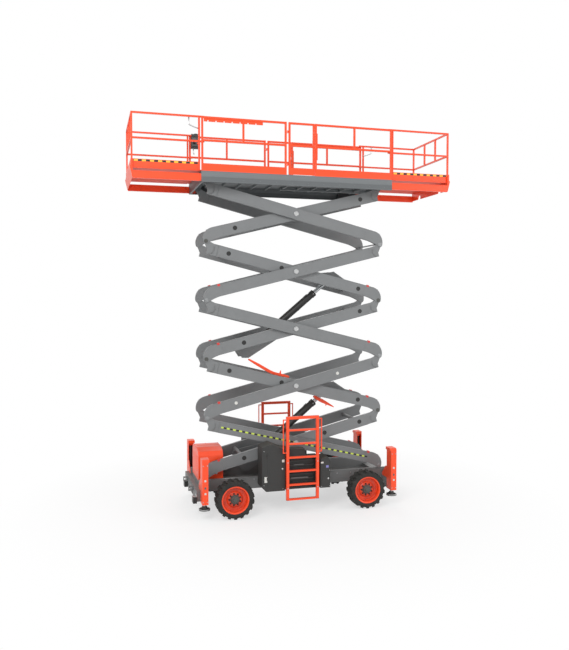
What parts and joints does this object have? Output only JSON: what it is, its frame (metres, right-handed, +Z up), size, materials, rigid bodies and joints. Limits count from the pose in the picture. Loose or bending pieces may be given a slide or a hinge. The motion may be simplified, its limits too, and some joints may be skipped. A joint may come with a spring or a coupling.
{
  "type": "scissor lift",
  "caption": "Rough-terrain scissor lift with raised stacked arms, sliding deck extensions, guardrails, side ladders, steered wheels and outriggers.",
  "frame": {"origin": "on the ground, midway along and across the machine", "axes": "+Z up, +X along the machine away from its steered axle, +Y to its far long side"},
  "size_m": [7.26, 2.44, 8.5404],
  "materials": {
    "arm_paint": "satin grey",
    "tyre_rubber": "matt",
    "rim_paint": "glossy",
    "chassis_paint": "satin",
    "bay_paint": "textured",
    "orange_paint": "glossy",
    "deck_metal": "satin",
    "black_paint": "satin",
    "barrel_paint": "satin",
    "rod_chrome": "polished",
    "jack_steel": "zinc plated",
    "engine_iron": "rough",
    "box_plastic": "textured"
  },
  "bodies": {
    "chassis": {"chassis_frame": "chassis_paint", "end_blocks": "black_paint", "hood": "orange_paint", "engine_tray": "chassis_paint", "engine_block": "engine_iron", "bays_far": "bay_paint", "bays_near": "bay_paint", "ladder_far": "orange_paint", "ladder_near": "orange_paint", "outrigger_housings": "orange_paint", "jack_barrels": "black_paint", "steer_axle": "chassis_paint", "fixed_axle": "chassis_paint"},
    "rising_arms_1": {"arms_1_inner": "arm_paint"},
    "falling_arms_1": {"arms_1_outer": "arm_paint"},
    "rising_arms_2": {"arms_2_outer": "arm_paint"},
    "falling_arms_2": {"arms_2_inner": "arm_paint", "safety_props": "orange_paint"},
    "rising_arms_3": {"arms_3_inner": "arm_paint"},
    "falling_arms_3": {"arms_3_outer": "arm_paint"},
    "rising_arms_4": {"arms_4_outer": "arm_paint"},
    "falling_arms_4": {"arms_4_inner": "arm_paint"},
    "rising_arms_5": {"arms_5_inner": "arm_paint"},
    "falling_arms_5": {"arms_5_outer": "arm_paint"},
    "platform": {"platform_frame": "deck_metal", "main_guardrails": "orange_paint", "control_box": "box_plastic"},
    "lift_barrel_lower": {"lift_barrel_lower": "barrel_paint"},
    "lift_rod_lower": {"lift_rod_lower": "rod_chrome"},
    "lift_barrel_upper": {"lift_barrel_upper": "barrel_paint"},
    "lift_rod_upper": {"lift_rod_upper": "rod_chrome"},
    "knuckle_far": {"knuckle_far": "chassis_paint"},
    "wheel_steer_far": {"tyre_steer_far": "tyre_rubber", "rim_steer_far": "rim_paint"},
    "wheel_rear_far": {"tyre_rear_far": "tyre_rubber", "rim_rear_far": "rim_paint"},
    "knuckle_near": {"knuckle_near": "chassis_paint"},
    "wheel_steer_near": {"tyre_steer_near": "tyre_rubber", "rim_steer_near": "rim_paint"},
    "wheel_rear_near": {"tyre_rear_near": "tyre_rubber", "rim_rear_near": "rim_paint"},
    "jack_right_far": {"jack_leg_right_far": "jack_steel"},
    "jack_right_near": {"jack_leg_right_near": "jack_steel"},
    "jack_left_far": {"jack_leg_left_far": "jack_steel"},
    "jack_left_near": {"jack_leg_left_near": "jack_steel"},
    "extension_left": {"extension_left": "orange_paint", "extension_left_deck": "deck_metal"},
    "extension_right": {"extension_right": "orange_paint", "extension_right_deck": "deck_metal"},
    "gate_near": {"gate_near": "orange_paint"},
    "gate_far": {"gate_far": "orange_paint"}
  },
  "joints": [
    {"name": "scissor_lift", "type": "hinge", "parent": "chassis", "child": "rising_arms_1", "pos_m": [-2.01, 0, 0.819], "axis": [0, -1, 0], "range_deg": [-14, 43.83]},
    {"name": "centre_pivot_1", "type": "hinge", "parent": "rising_arms_1", "child": "falling_arms_1", "pos_m": [-0.00019, 0, 1.45924], "axis": [0, -1, 0], "range_deg": [-88.16, 28.5]},
    {"name": "end_pivot_1", "type": "hinge", "parent": "falling_arms_1", "child": "rising_arms_2", "pos_m": [-2.01, 0, 2.09947], "axis": [0, -1, 0], "range_deg": [-28.5, 88.16]},
    {"name": "centre_pivot_2", "type": "hinge", "parent": "rising_arms_2", "child": "falling_arms_2", "pos_m": [-0.00019, 0, 2.73971], "axis": [0, -1, 0], "range_deg": [-88.16, 28.5]},
    {"name": "end_pivot_2", "type": "hinge", "parent": "falling_arms_2", "child": "rising_arms_3", "pos_m": [-2.01, 0, 3.37994], "axis": [0, -1, 0], "range_deg": [-28.5, 88.16]},
    {"name": "centre_pivot_3", "type": "hinge", "parent": "rising_arms_3", "child": "falling_arms_3", "pos_m": [-0.00019, 0, 4.02018], "axis": [0, -1, 0], "range_deg": [-88.16, 28.5]},
    {"name": "end_pivot_3", "type": "hinge", "parent": "falling_arms_3", "child": "rising_arms_4", "pos_m": [-2.01, 0, 4.66041], "axis": [0, -1, 0], "range_deg": [-28.5, 88.16]},
    {"name": "centre_pivot_4", "type": "hinge", "parent": "rising_arms_4", "child": "falling_arms_4", "pos_m": [-0.00019, 0, 5.30065], "axis": [0, -1, 0], "range_deg": [-88.16, 28.5]},
    {"name": "end_pivot_4", "type": "hinge", "parent": "falling_arms_4", "child": "rising_arms_5", "pos_m": [-2.01, 0, 5.94088], "axis": [0, -1, 0], "range_deg": [-28.5, 88.16]},
    {"name": "centre_pivot_5", "type": "hinge", "parent": "rising_arms_5", "child": "falling_arms_5", "pos_m": [-0.00019, 0, 6.58112], "axis": [0, -1, 0], "range_deg": [-88.16, 28.5]},
    {"name": "platform_pivot", "type": "hinge", "parent": "falling_arms_5", "child": "platform", "pos_m": [-2.01, 0, 7.22135], "axis": [0, -1, 0], "range_deg": [-14.5, 44.33]},
    {"name": "lift_barrel_pivot_lower", "type": "hinge", "parent": "rising_arms_1", "child": "lift_barrel_lower", "pos_m": [-0.95974, 0, 0.94688], "axis": [0, -1, 0], "range_deg": [-2.29, 0.8]},
    {"name": "lift_rod_slide_lower", "type": "slide", "parent": "lift_barrel_lower", "child": "lift_rod_lower", "axis": [0.765, 0, 0.644], "range_m": [-0.4665, 1.4593]},
    {"name": "lift_barrel_pivot_upper", "type": "hinge", "parent": "rising_arms_3", "child": "lift_barrel_upper", "pos_m": [-0.95974, 0, 3.50782], "axis": [0, -1, 0], "range_deg": [-2.29, 0.8]},
    {"name": "lift_rod_slide_upper", "type": "slide", "parent": "lift_barrel_upper", "child": "lift_rod_upper", "axis": [0.765, 0, 0.644], "range_m": [-0.4665, 1.4593]},
    {"name": "steer_far", "type": "hinge", "parent": "chassis", "child": "knuckle_far", "pos_m": [-1.505, 0.86, 0.42], "axis": [0, 0, 1], "range_deg": [-28, 28]},
    {"name": "spin_steer_far", "type": "hinge", "parent": "knuckle_far", "child": "wheel_steer_far", "pos_m": [-1.505, 1.07, 0.42], "axis": [0, 1, 0], "continuous": true},
    {"name": "spin_rear_far", "type": "hinge", "parent": "chassis", "child": "wheel_rear_far", "pos_m": [1.505, 1.07, 0.42], "axis": [0, 1, 0], "continuous": true},
    {"name": "steer_near", "type": "hinge", "parent": "chassis", "child": "knuckle_near", "pos_m": [-1.505, -0.86, 0.42], "axis": [0, 0, 1], "range_deg": [-28, 28]},
    {"name": "spin_steer_near", "type": "hinge", "parent": "knuckle_near", "child": "wheel_steer_near", "pos_m": [-1.505, -1.07, 0.42], "axis": [0, 1, 0], "continuous": true},
    {"name": "spin_rear_near", "type": "hinge", "parent": "chassis", "child": "wheel_rear_near", "pos_m": [1.505, -1.07, 0.42], "axis": [0, 1, 0], "continuous": true},
    {"name": "outrigger_right_far", "type": "slide", "parent": "chassis", "child": "jack_right_far", "axis": [0, 0, -1], "range_m": [0, 0.4]},
    {"name": "outrigger_right_near", "type": "slide", "parent": "chassis", "child": "jack_right_near", "axis": [0, 0, -1], "range_m": [0, 0.4]},
    {"name": "outrigger_left_far", "type": "slide", "parent": "chassis", "child": "jack_left_far", "axis": [0, 0, -1], "range_m": [0, 0.4]},
    {"name": "outrigger_left_near", "type": "slide", "parent": "chassis", "child": "jack_left_near", "axis": [0, 0, -1], "range_m": [0, 0.4]},
    {"name": "extension_slide_left", "type": "slide", "parent": "platform", "child": "extension_left", "axis": [1, 0, 0], "range_m": [0, 1.4]},
    {"name": "extension_slide_right", "type": "slide", "parent": "platform", "child": "extension_right", "axis": [-1, 0, 0], "range_m": [0, 1.4]},
    {"name": "gate_swing_near", "type": "hinge", "parent": "platform", "child": "gate_near", "pos_m": [-0.282, -0.927, 7.6], "axis": [0, 0, 1], "range_deg": [0, 90]},
    {"name": "gate_swing_far", "type": "hinge", "parent": "platform", "child": "gate_far", "pos_m": [-0.282, 0.927, 7.6], "axis": [0, 0, -1], "range_deg": [0, 90]}
  ],
  "couplings": [
    {"joint": "centre_pivot_1", "follows": "scissor_lift", "ratio": -2},
    {"joint": "end_pivot_1", "follows": "scissor_lift", "ratio": 2},
    {"joint": "centre_pivot_2", "follows": "scissor_lift", "ratio": -2},
    {"joint": "end_pivot_2", "follows": "scissor_lift", "ratio": 2},
    {"joint": "centre_pivot_3", "follows": "scissor_lift", "ratio": -2},
    {"joint": "end_pivot_3", "follows": "scissor_lift", "ratio": 2},
    {"joint": "centre_pivot_4", "follows": "scissor_lift", "ratio": -2},
    {"joint": "end_pivot_4", "follows": "scissor_lift", "ratio": 2},
    {"joint": "centre_pivot_5", "follows": "scissor_lift", "ratio": -2},
    {"joint": "platform_pivot", "follows": "scissor_lift", "ratio": 1},
    {"joint": "lift_barrel_pivot_lower", "follows": "scissor_lift", "ratio": -0.05},
    {"joint": "lift_rod_slide_lower", "follows": "scissor_lift", "m_per_rad": 1.907},
    {"joint": "lift_barrel_pivot_upper", "follows": "scissor_lift", "ratio": -0.05},
    {"joint": "lift_rod_slide_upper", "follows": "scissor_lift", "m_per_rad": 1.907},
    {"joint": "steer_near", "follows": "steer_far", "ratio": 1}
  ]
}
